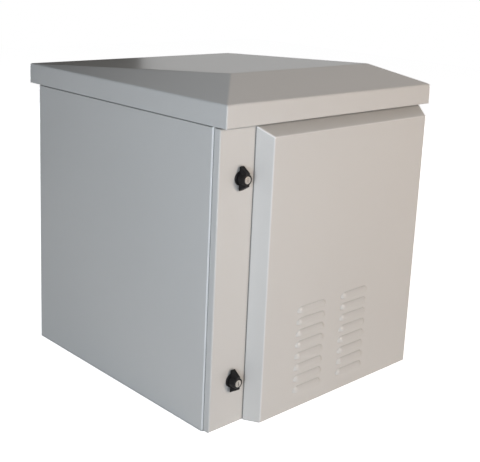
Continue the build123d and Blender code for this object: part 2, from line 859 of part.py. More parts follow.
def lock_cam(z):
    # flat arm that hangs clear of the frame and swings behind the left stile
    boss = Circle(cam_width / 2)
    arm = Pos(0, -cam_length / 2) * Rectangle(cam_width, cam_length)
    outline = boss + arm
    tips = outline.vertices().group_by(Axis.Y)[0]
    outline = fillet(tips, cam_tip_radius) - Rectangle(spindle_square + 2 * running_clearance,
                                                       spindle_square + 2 * running_clearance)
    start = Plane.XZ.offset(-cam_front - cam_thickness)
    return Pos(lock_x, 0, z) * extrude(start * outline, cam_thickness)


def cam_nut(z):
    seat = cam_front + cam_thickness
    nut = hexagon(lock_x, seat, z, cam_nut_flats, cam_nut_height, "Y")
    return nut - drill(lock_x, seat, z, spindle_thread_radius + hole_clearance,
                       2 * cam_nut_height, "Y")


def all_parts():
    parts = {"left_side_panel": side_panel(-1), "right_side_panel": side_panel(1),
             "back_panel": back_panel(), "base_panel": base_panel(),
             "top_panel": top_panel(), "roof_cap": roof_cap(),
             "roof_bolts": cap_bolts(),
             "rack_rail_bolts": rail_fasteners(rail_bolt),
             "rack_rail_nuts": rail_fasteners(rail_nut),
             "wall_bracket_rivets": wall_bracket_rivets(),
             "gland_plate": gland_plate(), "gland_plate_screws": gland_plate_screws(),
             "earth_stud": earth_stud(), "earth_nut": earth_nut(),
             "door_leaf": door_leaf(), "door_cover": door_cover(),
             "door_cover_nuts": cover_nuts(), "door_seal": door_seal(),
             "filter_mat": filter_mat(), "filter_frame": filter_frame(),
             "filter_nuts": filter_nuts()}
    for place in ("left", "right", "top", "bottom"):
        parts[f"frame_{place}"] = frame_member(place)
    for side, y in cap_bracket_places():
        parts[f"roof_bracket_{end_word(y)}_{side_word(side)}"] = cap_bracket(side, y)
    for side in (-1, 1):
        for place in ("front", "rear"):
            parts[f"rack_rail_{place}_{side_word(side)}"] = rack_rail(side, place)
        for height, level in zip(support_heights, ("lower", "upper")):
            parts[f"rail_support_{level}_{side_word(side)}"] = rail_support(side, height)
    for height, level in zip(wall_bracket_heights, ("lower", "upper")):
        parts[f"wall_bracket_{level}"] = wall_bracket(height)
    for x in grommet_places():
        parts[f"cable_grommet_{side_word(x)}"] = cable_grommet(x)
    for z, level in zip(hinge_heights, ("lower", "upper")):
        parts[f"{level}_hinge_body_leaf"] = hinge_body_leaf(z)
        parts[f"{level}_hinge_door_leaf"] = hinge_door_leaf(z)
        parts[f"{level}_hinge_pin"] = hinge_pin(z)
    for z, level in zip(lock_heights, ("lower", "upper")):
        parts[f"{level}_lock_housing"] = lock_housing(z)
        parts[f"{level}_lock_nut"] = lock_nut(z)
        parts[f"{level}_lock_knob"] = lock_knob(z)
        parts[f"{level}_lock_cam"] = lock_cam(z)
        parts[f"{level}_cam_nut"] = cam_nut(z)
        parts[f"{level}_key_cylinder"] = key_cylinder(z)
    return parts


def side_word(x):
    return "left" if x < 0 else "right"


def end_word(y):
    return "front" if y < 0 else "rear"


os.makedirs("parts", exist_ok=True)
for name, shape in all_parts().items():
    export_step(shape, f"parts/{name}.step")
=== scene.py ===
import json
import math
import bmesh
import bpy
from mathutils import Matrix, Vector


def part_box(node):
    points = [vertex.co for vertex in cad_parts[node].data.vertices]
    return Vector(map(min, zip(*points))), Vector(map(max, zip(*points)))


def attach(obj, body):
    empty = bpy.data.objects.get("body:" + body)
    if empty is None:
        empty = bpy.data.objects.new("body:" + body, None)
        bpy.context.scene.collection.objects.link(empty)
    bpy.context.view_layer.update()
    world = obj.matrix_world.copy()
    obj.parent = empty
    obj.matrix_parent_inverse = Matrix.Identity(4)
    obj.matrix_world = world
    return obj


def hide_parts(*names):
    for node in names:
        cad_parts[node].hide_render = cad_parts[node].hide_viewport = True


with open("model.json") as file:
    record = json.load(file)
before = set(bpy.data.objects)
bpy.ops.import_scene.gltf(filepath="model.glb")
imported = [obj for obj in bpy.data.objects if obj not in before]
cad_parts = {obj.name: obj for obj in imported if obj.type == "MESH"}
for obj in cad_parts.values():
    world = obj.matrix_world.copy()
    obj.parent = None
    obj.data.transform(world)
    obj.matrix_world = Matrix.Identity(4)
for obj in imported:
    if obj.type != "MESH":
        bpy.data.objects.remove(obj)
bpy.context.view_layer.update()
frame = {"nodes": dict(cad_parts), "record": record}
cadNodes = frame["nodes"]
mm = 0.001
print("frame loaded:", len(cadNodes), "pieces of the cabinet")


# Materials. Object coordinates are metres in the cabinet's own frame.

noiseSpan = (0.25, 0.75)  # most of a noise field lies between these values


def newFinish(name):
    finish = bpy.data.materials.new(name)
    finish.use_nodes = True
    tree = finish.node_tree
    return finish, tree, tree.nodes["Principled BSDF"]


def surfacePoint(tree, stretch=(1, 1, 1)):
    coords = tree.nodes.new("ShaderNodeTexCoord")
    mapping = tree.nodes.new("ShaderNodeMapping")
    mapping.inputs["Scale"].default_value = stretch
    tree.links.new(coords.outputs["Object"], mapping.inputs["Vector"])
    return mapping.outputs["Vector"]


def noiseField(tree, point, perMetre, detail=2.0, roughness=0.5):
    noise = tree.nodes.new("ShaderNodeTexNoise")
    noise.inputs["Scale"].default_value = perMetre
    noise.inputs["Detail"].default_value = detail
    noise.inputs["Roughness"].default_value = roughness
    tree.links.new(point, noise.inputs["Vector"])
    return noise.outputs["Fac"]


def cellField(tree, point, perMetre, output="Color"):
    cells = tree.nodes.new("ShaderNodeTexVoronoi")
    cells.inputs["Scale"].default_value = perMetre
    tree.links.new(point, cells.inputs["Vector"])
    return cells.outputs[output]


def remap(tree, field, low, high):
    ranger = tree.nodes.new("ShaderNodeMapRange")
    ranger.inputs["From Min"].default_value = noiseSpan[0]
    ranger.inputs["From Max"].default_value = noiseSpan[1]
    ranger.inputs["To Min"].default_value = low
    ranger.inputs["To Max"].default_value = high
    tree.links.new(field, ranger.inputs["Value"])
    return ranger.outputs["Result"]


def tintBetween(tree, field, first, second):
    ramp = tree.nodes.new("ShaderNodeValToRGB")
    for element, place, tint in zip(ramp.color_ramp.elements, noiseSpan, (first, second)):
        element.position = place
        element.color = (*tint, 1)
    tree.links.new(field, ramp.inputs["Fac"])
    return ramp.outputs["Color"]


def multiply(tree, first, second):
    mix = tree.nodes.new("ShaderNodeMix")
    mix.data_type = "RGBA"
    mix.blend_type = "MULTIPLY"
    mix.inputs["Factor"].default_value = 1.0
    tree.links.new(first, mix.inputs["A"])
    tree.links.new(second, mix.inputs["B"])
    return mix.outputs["Result"]


def relief(tree, field, height, strength):
    bump = tree.nodes.new("ShaderNodeBump")
    bump.inputs["Strength"].default_value = strength
    bump.inputs["Distance"].default_value = height
    tree.links.new(field, bump.inputs["Height"])
    return bump.outputs["Normal"]


# settings of the painted shade in seams and gaps
seam = {"reach": 7 * mm, "darkest": 0.5, "closed": 0.35, "open": 0.9, "samples": 8}


def paintedSeamShade(tree):
    # painted shade: the paint is darkened in narrow gaps and at the feet of laps, the more the
    # nearer surfaces close in
    gather = tree.nodes.new("ShaderNodeAmbientOcclusion")
    gather.samples = seam["samples"]
    gather.inputs["Distance"].default_value = seam["reach"]
    ranger = tree.nodes.new("ShaderNodeMapRange")
    ranger.inputs["From Min"].default_value = seam["closed"]
    ranger.inputs["From Max"].default_value = seam["open"]
    ranger.inputs["To Min"].default_value = seam["darkest"]
    ranger.inputs["To Max"].default_value = 1.0
    tree.links.new(gather.outputs["AO"], ranger.inputs["Value"])
    tint = tree.nodes.new("ShaderNodeCombineColor")
    for channel in ("Red", "Green", "Blue"):
        tree.links.new(ranger.outputs["Result"], tint.inputs[channel])
    return tint.outputs["Color"]


def paintFoldHighlight(tree, paint, pale):
    # painted highlight: the paint is made paler where the mesh is marked as folded, standing in
    # for light caught on the bends
    folds = tree.nodes.new("ShaderNodeAttribute")
    folds.attribute_name = "fold"
    mix = tree.nodes.new("ShaderNodeMix")
    mix.data_type = "RGBA"
    mix.inputs["B"].default_value = (*pale, 1)
    tree.links.new(folds.outputs["Fac"], mix.inputs["Factor"])
    tree.links.new(paint, mix.inputs["A"])
    return mix.outputs["Result"]


# the fold colour below is a painted highlight, for light caught on the bends
powder = {"pale": (0.606, 0.616, 0.601), "deep": (0.594, 0.605, 0.591),
          "foldHighlightColour": (0.80, 0.82, 0.82), "grain": (0.96, 0.96, 0.96),
          "cloudsPerMetre": 3, "grainsPerMetre": 1500, "wearPerMetre": 300,
          "smooth": 0.28, "dull": 0.31, "specular": 0.4,
          "peelPerMetre": 620, "peelHeight": 0.04 * mm, "peelStrength": 0.3}


def powderCoat():
    finish, tree, shader = newFinish("greyPowderCoat")
    point = surfacePoint(tree)
    clouds = noiseField(tree, point, powder["cloudsPerMetre"], detail=1)
    grains = noiseField(tree, point, powder["grainsPerMetre"], detail=1)
    # painted highlight on folds lightens the paint
    paint = paintFoldHighlight(tree, tintBetween(tree, clouds, powder["pale"], powder["deep"]),
                     powder["foldHighlightColour"])
    paint = multiply(tree, paint, tintBetween(tree, grains, powder["grain"], (1, 1, 1)))
    # painted shade in seams and gaps darkens the paint
    tree.links.new(multiply(tree, paint, paintedSeamShade(tree)), shader.inputs["Base Color"])
    wear = noiseField(tree, point, powder["wearPerMetre"])
    tree.links.new(remap(tree, wear, powder["smooth"], powder["dull"]),
                   shader.inputs["Roughness"])
    shader.inputs["Specular IOR Level"].default_value = powder["specular"]
    peel = noiseField(tree, point, powder["peelPerMetre"])
    tree.links.new(relief(tree, peel, powder["peelHeight"], powder["peelStrength"]),
                   shader.inputs["Normal"])
    return finish


zinc = {"darkShare": 0.82, "smooth": 0.32, "dull": 0.48, "scratchPerMetre": 260,
        "scratchStretch": (1, 1, 0.06), "scratchHeight": 0.02 * mm, "scratchStrength": 0.3}


def zincPlate(name, tint, spangle):
    finish, tree, shader = newFinish(name)
    point = surfacePoint(tree)
    shader.inputs["Metallic"].default_value = 1.0
    dark = tuple(zinc["darkShare"] * channel for channel in tint)
    flakes = tintBetween(tree, cellField(tree, point, spangle), dark, tint)
    tree.links.new(flakes, shader.inputs["Base Color"])
    dullness = noiseField(tree, point, spangle, detail=3)
    tree.links.new(remap(tree, dullness, zinc["smooth"], zinc["dull"]),
                   shader.inputs["Roughness"])
    drawn = noiseField(tree, surfacePoint(tree, zinc["scratchStretch"]),
                       zinc["scratchPerMetre"], detail=3)
    tree.links.new(relief(tree, drawn, zinc["scratchHeight"], zinc["scratchStrength"]),
                   shader.inputs["Normal"])
    return finish


turned = {"darkShare": 0.86, "cloudsPerMetre": 300, "wearPerMetre": 900, "wear": 0.14,
          "linesPerMetre": 1800, "lineHeight": 0.01 * mm, "lineStrength": 0.3}


def turnedMetal(name, tint, smooth):
    finish, tree, shader = newFinish(name)
    point = surfacePoint(tree)
    shader.inputs["Metallic"].default_value = 1.0
    dark = tuple(turned["darkShare"] * channel for channel in tint)
    clouds = noiseField(tree, point, turned["cloudsPerMetre"], detail=3)
    tree.links.new(tintBetween(tree, clouds, dark, tint), shader.inputs["Base Color"])
    wear = noiseField(tree, point, turned["wearPerMetre"])
    tree.links.new(remap(tree, wear, smooth, smooth + turned["wear"]),
                   shader.inputs["Roughness"])
    lines = noiseField(tree, point, turned["linesPerMetre"], detail=1)
    tree.links.new(relief(tree, lines, turned["lineHeight"], turned["lineStrength"]),
                   shader.inputs["Normal"])
    return finish


polymer = {"paleShare": 1.5, "cloudsPerMetre": 120, "wearPerMetre": 500, "wear": 0.16,
           "grainStrength": 0.5, "specular": 0.2}


def darkPolymer(name, tint, smooth, grainPerMetre, grainHeight):
    finish, tree, shader = newFinish(name)
    point = surfacePoint(tree)
    pale = tuple(polymer["paleShare"] * channel for channel in tint)
    clouds = noiseField(tree, point, polymer["cloudsPerMetre"], detail=3)
    tree.links.new(tintBetween(tree, clouds, tint, pale), shader.inputs["Base Color"])
    wear = noiseField(tree, point, polymer["wearPerMetre"])
    tree.links.new(remap(tree, wear, smooth, smooth + polymer["wear"]),
                   shader.inputs["Roughness"])
    grain = noiseField(tree, point, grainPerMetre)
    tree.links.new(relief(tree, grain, grainHeight, polymer["grainStrength"]),
                   shader.inputs["Normal"])
    shader.inputs["Specular IOR Level"].default_value = polymer["specular"]
    return finish


foam = {"deep": (0.012, 0.012, 0.013), "pale": (0.05, 0.05, 0.052), "poresPerMetre": 900,
        "roughness": 0.95, "poreHeight": 0.4 * mm, "poreStrength": 0.8}


def openFoam():
    finish, tree, shader = newFinish("blackFoam")
    point = surfacePoint(tree)
    shader.inputs["Roughness"].default_value = foam["roughness"]
    pores = cellField(tree, point, foam["poresPerMetre"], "Distance")
    tree.links.new(tintBetween(tree, pores, foam["deep"], foam["pale"]),
                   shader.inputs["Base Color"])
    tree.links.new(relief(tree, pores, foam["poreHeight"], foam["poreStrength"]),
                   shader.inputs["Normal"])
    return finish


fleece = {"deep": (0.50, 0.51, 0.50), "pale": (0.80, 0.80, 0.78), "fibresPerMetre": 900,
          "stretch": (1, 1, 0.25), "tangle": 0.7, "roughness": 0.92, "sheen": 0.3,
          "fibreHeight": 0.6 * mm, "fibreStrength": 0.7}


def filterFleece():
    finish, tree, shader = newFinish("filterFleece")
    fibres = noiseField(tree, surfacePoint(tree, fleece["stretch"]), fleece["fibresPerMetre"],
                        detail=5, roughness=fleece["tangle"])
    shader.inputs["Roughness"].default_value = fleece["roughness"]
    shader.inputs["Sheen Weight"].default_value = fleece["sheen"]
    tree.links.new(tintBetween(tree, fibres, fleece["deep"], fleece["pale"]),
                   shader.inputs["Base Color"])
    tree.links.new(relief(tree, fibres, fleece["fibreHeight"], fleece["fibreStrength"]),
                   shader.inputs["Normal"])
    return finish


finishes = {"grey_powder_coat": powderCoat(),
            "zinc_plated_sheet": zincPlate("zincPlatedSheet", (0.56, 0.585, 0.60), 60),
            "zinc_plated_fastener": zincPlate("zincPlatedFastener", (0.54, 0.54, 0.515), 400),
            "nickel_plate": turnedMetal("nickelPlate", (0.45, 0.43, 0.40), 0.22),
            "brass_plate": turnedMetal("brassPlate", (0.70, 0.54, 0.25), 0.22),
            "black_plastic": darkPolymer("blackPlastic", (0.005, 0.005, 0.0055), 0.36, 1400,
                                         0.02 * mm),
            "black_rubber": darkPolymer("blackRubber", (0.015, 0.015, 0.015), 0.62, 2200,
                                        0.05 * mm),
            "black_foam": openFoam(),
            "filter_fleece": filterFleece()}

for subpart in frame["record"]["subparts"]:
    skin = cadNodes[subpart["node"]].data
    skin.materials.clear()
    skin.materials.append(finishes[subpart["material_slot"]])
print("finishes laid on every piece:", len(finishes))


# Helpers for the remade pieces

def addObject(name, data):
    thing = bpy.data.objects.new(name, data)
    bpy.context.scene.collection.objects.link(thing)
    return thing


def meshFrom(bm, name):
    mesh = bpy.data.meshes.new(name)
    bm.to_mesh(mesh)
    bm.free()
    return mesh


def smoothUpTo(mesh, creaseAngle):
    mesh.shade_smooth()
    mesh.set_sharp_from_angle(angle=math.radians(creaseAngle))


def addPiece(name, mesh, body, slotName, *nodes):
    piece = addObject(name, mesh)
    mesh.materials.append(finishes[slotName])
    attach(piece, body)
    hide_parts(*nodes)
    return piece


weldGap = 0.01 * mm  # points nearer than this are one point
roundFold = 0.5  # a bevel's profile that gives a circular fold
halfTurn = 0.3  # how far in a rounded edge lies at half its turn, as a share of its radius
sheetWork = {"creaseAngle": 50, "longestWall": 1.8, "flatWeight": 80, "foldSlack": 0.1 * mm}


def asSheetMetal(piece, thickness):
    # gives a skin its thickness inwards and keeps broad faces flat under the light
    wall = piece.modifiers.new("sheet", "SOLIDIFY")
    wall.thickness = thickness
    wall.offset = -1
    wall.use_even_offset = True
    wall.use_quality_normals = True
    count = len(piece.data.vertices)
    bakeModifiers(piece)
    for outer in piece.data.vertices[:count]:
        inner = piece.data.vertices[outer.index + count]
        span = inner.co - outer.co
        if span.length > sheetWork["longestWall"] * thickness:  # a spike at a tight corner
            inner.co = outer.co + span.normalized() * thickness
    smoothUpTo(piece.data, sheetWork["creaseAngle"])
    weighted = piece.modifiers.new("flats", "WEIGHTED_NORMAL")
    weighted.keep_sharp = True
    weighted.weight = sheetWork["flatWeight"]


def markFoldHighlights(mesh, highlightAt):
    # marks how strong the painted highlight is at each point inside a fold
    marks = [float(highlightAt(vert.co)) for vert in mesh.vertices]
    mesh.attributes.new("fold", "FLOAT", "POINT").data.foreach_set("value", marks)


def bakeModifiers(piece):
    graph = bpy.context.evaluated_depsgraph_get()
    baked = bpy.data.meshes.new_from_object(piece.evaluated_get(graph), depsgraph=graph,
                                            preserve_all_data_layers=True)
    piece.modifiers.clear()
    piece.data = baked


def lathe(bm, profile, steps=64, closed=False):
    # turns a line of (radius, along) points round the Y axis through the origin
    turns = []
    for step in range(steps):
        angle = 2 * math.pi * step / steps
        turns.append([bm.verts.new((radius * math.cos(angle), along, radius * math.sin(angle)))
                      for radius, along in profile])
    count = len(profile)
    for step in range(steps):
        here, there = turns[step], turns[(step + 1) % steps]
        for place in range(count if closed else count - 1):
            following = (place + 1) % count
            bm.faces.new((here[place], here[following], there[following], there[place]))
    if not closed:
        bm.faces.new([turn[0] for turn in turns])
        bm.faces.new([turn[-1] for turn in reversed(turns)])


def bridgeRings(bm, rings):
    # joins closed lines of points, each to the next
    for low, high in zip(rings, rings[1:]):
        for place in range(len(low)):
            following = (place + 1) % len(low)
            bm.faces.new((low[place], low[following], high[following], high[place]))


thread = {"depthShare": 0.55, "steps": 28, "rowsPerTurn": 6}


def threadedRod(bm, radius, start, length, pitch):
    # helical ridge on a rod along Y through the origin, fading out at both ends
    depth = thread["depthShare"] * pitch
    steps, rowsPerTurn = thread["steps"], thread["rowsPerTurn"]
    rows = int(length / pitch * rowsPerTurn)
    rings = []
    for row in range(rows + 1):
        along = start + length * row / rows
        fade = min(1, row / rowsPerTurn, (rows - row) / rowsPerTurn)
        ring = []
        for step in range(steps):
            phase = (along / pitch - step / steps) % 1
            ridge = 1 - abs(2 * phase - 1)
            reach = radius - depth * (1 - ridge * fade)
            angle = 2 * math.pi * step / steps
            ring.append(bm.verts.new((reach * math.cos(angle), along, reach * math.sin(angle))))
        rings.append(ring)
    bridgeRings(bm, rings)
    bm.faces.new(list(reversed(rings[0])))
    bm.faces.new(rings[-1])
    return [vert for ring in rings for vert in ring]


# Rain cap

rainCap = {"fascia": 43 * mm, "ridgeSetback": 100 * mm, "ridgeEndInset": 99 * mm,
           "foldRadius": 3 * mm, "foldSteps": 4, "dripReturn": 12 * mm, "dripRadius": 2.5 * mm,
           "dripEndGap": 9 * mm, "sheet": 1.5 * mm}


def makeRainCap():
    low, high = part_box("roof_cap")
    eave = low.z + rainCap["fascia"]
    ridgeY = low.y + rainCap["ridgeSetback"]
    ridgeX = high.x - rainCap["ridgeEndInset"]
    corners = [(low.x, low.y), (high.x, low.y), (high.x, high.y), (low.x, high.y)]
    bm = bmesh.new()
    foot = [bm.verts.new((x, y, low.z)) for x, y in corners]
    brim = [bm.verts.new((x, y, eave)) for x, y in corners]
    ridge = [bm.verts.new((x, ridgeY, high.z)) for x in (-ridgeX, ridgeX)]
    for here in range(4):
        there = (here + 1) % 4
        bm.faces.new((foot[here], foot[there], brim[there], brim[here]))
    bm.faces.new((brim[0], brim[1], ridge[1], ridge[0]))
    bm.faces.new((brim[1], brim[2], ridge[1]))
    bm.faces.new((brim[2], brim[3], ridge[0], ridge[1]))
    bm.faces.new((brim[3], brim[0], ridge[0]))
    folds = [edge for edge in bm.edges if not edge.is_boundary]
    bmesh.ops.bevel(bm, geom=folds, offset=rainCap["foldRadius"], offset_type="OFFSET",
                    segments=rainCap["foldSteps"], profile=roundFold, affect="EDGES")
    dripEdges = [edge for edge in bm.edges if edge.is_boundary
                 and abs(edge.verts[0].co.x - edge.verts[1].co.x) > rainCap["ridgeEndInset"]]
    grown = bmesh.ops.extrude_edge_only(bm, edges=dripEdges)["geom"]
    for vert in (item for item in grown if isinstance(item, bmesh.types.BMVert)):
        vert.co.y -= math.copysign(rainCap["dripReturn"], vert.co.y)
        vert.co.x -= math.copysign(rainCap["dripEndGap"], vert.co.x)
    drips = [edge for edge in dripEdges if edge.is_valid]
    bmesh.ops.bevel(bm, geom=drips, offset=rainCap["dripRadius"], offset_type="OFFSET",
                    segments=rainCap["foldSteps"], profile=roundFold, affect="EDGES")
    bmesh.ops.recalc_face_normals(bm, faces=bm.faces)
    cap = addPiece("rainCap", meshFrom(bm, "rainCap"), "cabinet", "grey_powder_coat", "roof_cap")
    asSheetMetal(cap, rainCap["sheet"])


makeRainCap()
print("rain cap folded")


# Side panels, joggled under the rain cap's foot

sidePanel = {"frontReturn": 25 * mm, "rearReturn": 20 * mm, "bendRadius": 3 * mm,
             "bendSteps": 6, "sheet": 1.5 * mm, "joggleFoot": 3.0 * mm, "joggleRise": 1.2 * mm,
             "joggleDepth": 1.5 * mm, "joggleRun": 3.2 * mm}


def makeSidePanel(side, word):
    node = word + "_side_panel"
    low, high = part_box(node)
    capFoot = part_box("roof_cap")[0].z
    edge = max(abs(low.x), abs(high.x))
    radius, steps = sidePanel["bendRadius"], sidePanel["bendSteps"]
    line = [(edge - sidePanel["frontReturn"], low.y)]
    for centreY, start in ((low.y + radius, -90), (high.y - radius, 0)):
        for step in range(steps + 1):
            angle = math.radians(start + 90 * step / steps)
            line.append((edge - radius + radius * math.cos(angle),
                         centreY + radius * math.sin(angle)))
    line.append((edge - sidePanel["rearReturn"], high.y))
    joggle = capFoot - sidePanel["joggleFoot"]
    rows = [(low.z, 0), (joggle, 0), (joggle + sidePanel["joggleRise"], sidePanel["joggleDepth"]),
            (high.z, sidePanel["joggleDepth"])]
    bm = bmesh.new()
    rings = []
    for z, depth in rows:
        ring = []
        for x, y in line:
            share = max(0, (x - edge + sidePanel["joggleRun"]) / sidePanel["joggleRun"])
            ring.append(bm.verts.new((side * (x - share * depth), y, z)))
        rings.append(ring)
    for lower, upper in zip(rings, rings[1:]):
        for place in range(len(line) - 1):
            corners = (lower[place], lower[place + 1], upper[place + 1], upper[place])
            bm.faces.new(corners if side > 0 else tuple(reversed(corners)))
    mesh = meshFrom(bm, word + "SidePanel")
    # painted highlight along the rounded front and rear bends
    bend = radius - sheetWork["foldSlack"]
    markFoldHighlights(mesh, lambda place: abs(place.x) > edge - bend
              and (place.y < low.y + bend or place.y > high.y - bend))
    panel = addPiece(word + "SidePanel", mesh, "cabinet", "grey_powder_coat", node)
    asSheetMetal(panel, sidePanel["sheet"])


for panelSide, panelWord in ((-1, "left"), (1, "right")):
    makeSidePanel(panelSide, panelWord)
print("side panels folded")


# Raised cover on the door, with its pressed louvres

# the fold and hip shares set how strong the painted highlight is on the cover's front folds and
# hips
doorCover = {"rise": 34 * mm, "bevel": 19 * mm, "flange": 14 * mm, "sheet": 1.5 * mm,
             "baseRadius": 2.2 * mm, "baseTurn": 120, "frontRadius": 3 * mm, "bendSteps": 6,
             "hipRadius": 3 * mm, "heelRadius": 1.5 * mm, "hipSteps": 4, "faceMargin": 3 * mm,
             "foldHighlightShare": 0.4, "hipHighlightShare": 1.0}

coverStud = {"radius": 2.5 * mm, "length": 8 * mm, "pitch": 0.8 * mm, "edgeInset": 8 * mm,
             "endInset": 70 * mm}

louvreHood = {"columns": (-58.5 * mm, 75 * mm), "rows": 8, "pitch": 24.8 * mm,
              "bottom": 39 * mm, "length": 85 * mm, "height": 12 * mm, "depth": 5.5 * mm,
              "margin": 3 * mm, "below": 2.6 * mm, "steps": 5,
              "shoulder": ((0.75, 0.0), (0.36, 0.09), (0.12, 0.3), (0.0, 0.62)),
              "crown": (0.98, 0.93, 0.8, 0.6, 0.35, 0.0), "crownPower": 1.55}


def bevelInset(depth):
    # how far a bevelled side stands in from the edge at a depth above the leaf
    rise, run = doorCover["rise"], doorCover["bevel"]
    slant = math.hypot(rise, run)
    base, front = doorCover["baseRadius"], doorCover["frontRadius"]
    if depth < base + base * run / slant:
        centre = base * (slant + run) / rise
        return centre - math.sqrt(max(base ** 2 - (depth - base) ** 2, 0))
    if depth > rise - front + front * run / slant:
        centre = run + front * (slant - run) / rise
        return centre - math.sqrt(max(front ** 2 - (depth - rise + front) ** 2, 0))
    return depth * run / rise


def heelInset(depth):
    # the same for the straight side at the foot
    rise, base, front = doorCover["rise"], doorCover["baseRadius"], doorCover["frontRadius"]
    if depth < base:
        return base - math.sqrt(max(base ** 2 - (base - depth) ** 2, 0))
    if depth > rise - front:
        return front - math.sqrt(max(front ** 2 - (depth - rise + front) ** 2, 0))
    return 0.0


def coverDepths():
    rise, base, front = doorCover["rise"], doorCover["baseRadius"], doorCover["frontRadius"]
    steps = doorCover["bendSteps"]
    depths = [base * (1 - math.cos(math.radians(doorCover["baseTurn"]) * step / steps))
              for step in range(steps + 1)]
    depths += [rise - front + front * math.sin(math.radians(90) * step / steps)
               for step in range(steps + 1)]
    return depths


def hoodRings():
    # distance from the hood's spine and depth in front of the face, root to crown
    reach, depth = louvreHood["height"], louvreHood["depth"]
    rings = [(reach + out * mm, rise * mm) for out, rise in louvreHood["shoulder"]]
    power = louvreHood["crownPower"]
    rings += [(reach * share, depth * (1 - share ** power) ** (1 / power))
              for share in louvreHood["crown"]]
    return rings


def louvreLines():
    # lines of the face that pass along the edges of the louvre cells
    steps, reach = louvreHood["steps"], louvreHood["height"] + louvreHood["margin"]
    half = louvreHood["length"] / 2 - louvreHood["height"]
    across = [half + reach * step / steps for step in range(steps + 1)]
    across = [-x for x in reversed(across)] + across
    up = [-louvreHood["below"]] + [reach * step / steps for step in range(steps + 1)]
    return across, up


def addLouvre(bm, centreX, bottomZ, faceY):
    across = louvreLines()[0]
    steps, rings = louvreHood["steps"], hoodRings()
    half = louvreHood["length"] / 2 - louvreHood["height"]
    reach = louvreHood["height"] + louvreHood["margin"]

    def spot(x, z, depth=0.0):
        return bm.verts.new((centreX + x, faceY - depth, bottomZ + z))

    def fan(side):
        # rows of points from the cell's edge to the crown, one row for each angle
        rows = []
        for turn in range(2 * steps + 1):
            angle = math.radians(90) * (1 - turn / (2 * steps))
            if turn <= steps:
                edge = spot(side * (half + reach * turn / steps), reach)
            else:
                edge = spot(side * (half + reach), reach * (2 - turn / steps))
            row = [edge] + [spot(side * (half + far * math.cos(angle)), far * math.sin(angle),
                                 depth) for far, depth in rings]
            rows.append(row)
        return rows

    left, right = fan(-1), fan(1)
    for rows in (left, right):
        for row, following in zip(rows, rows[1:]):
            for place in range(len(row) - 1):
                bm.faces.new((row[place], row[place + 1], following[place + 1],
                              following[place]))
    for place in range(len(left[0]) - 1):
        bm.faces.new((left[0][place], left[0][place + 1], right[0][place + 1],
                      right[0][place]))
    tip = half + rings[0][0]
    lip = [half + (tip - half) * step / (steps - 1) for step in range(steps)] + [across[-1]]
    lip = [-x for x in reversed(lip)] + lip
    lower = [spot(x, -louvreHood["below"]) for x in across]
    upper = [spot(x, 0) for x in lip]
    for place in range(len(across) - 1):
        bm.faces.new((lower[place], lower[place + 1], upper[place + 1], upper[place]))


def coverRing(low, high, sideInset, footInset, xs, zs):
    # one closed line of points round the cover, with rounded corners
    left, right = low.x + sideInset, high.x - sideInset
    foot, head = low.z + footInset, high.z - sideInset
    steps = doorCover["hipSteps"]
    points = []

    def corner(x, z, radius, start):
        for step in range(steps + 1):
            angle = math.radians(start + 90 * step / steps)
            points.append((x + radius * math.cos(angle), z + radius * math.sin(angle)))

    heel, hip = doorCover["heelRadius"], doorCover["hipRadius"]
    corner(left + heel, foot + heel, heel, 180)
    points += [(x, foot) for x in xs]
    corner(right - heel, foot + heel, heel, 270)
    points += [(right, z) for z in zs]
    corner(right - hip, head - hip, hip, 0)
    points += [(x, head) for x in reversed(xs)]
    corner(left + hip, head - hip, hip, 90)
    points += [(left, z) for z in reversed(zs)]
    return points


def addCoverStuds(mesh, low, high, leafY):
    inset, radius = coverStud["edgeInset"], coverStud["radius"]
    middleX, middleZ = (low.x + high.x) / 2, (low.z + high.z) / 2
    reach = (high.z - low.z) / 2 - coverStud["endInset"]
    places = [(x, middleZ + step * reach) for x in (low.x + inset, high.x - inset)
              for step in (-1, 0, 1)]
    places += [(middleX, low.z + inset), (middleX, high.z - inset)]
    bm = bmesh.new()
    bm.from_mesh(mesh)
    for x, z in places:
        stud = threadedRod(bm, radius, 0, coverStud["length"], coverStud["pitch"])
        bmesh.ops.translate(bm, verts=stud, vec=(x, leafY, z))
    bm.to_mesh(mesh)
    bm.free()


def coverFoldHighlight(low, high, leafY):
    # how strong the painted highlight is at a point: most on the hips, some on the front folds
    rise, bevel = doorCover["rise"], doorCover["bevel"]
    foldDepth = doorCover["frontRadius"] * (1 - bevel / math.hypot(rise, bevel))

    def highlightAt(place):
        depth = leafY - place.y
        reach = bevelInset(depth) + doorCover["hipRadius"] - sheetWork["foldSlack"]
        if (0 < depth < rise and place.z > high.z - reach
                and min(place.x - low.x, high.x - place.x) < reach):
            return doorCover["hipHighlightShare"]
        if weldGap < rise - depth < foldDepth:
            return doorCover["foldHighlightShare"]
        return 0

    return highlightAt


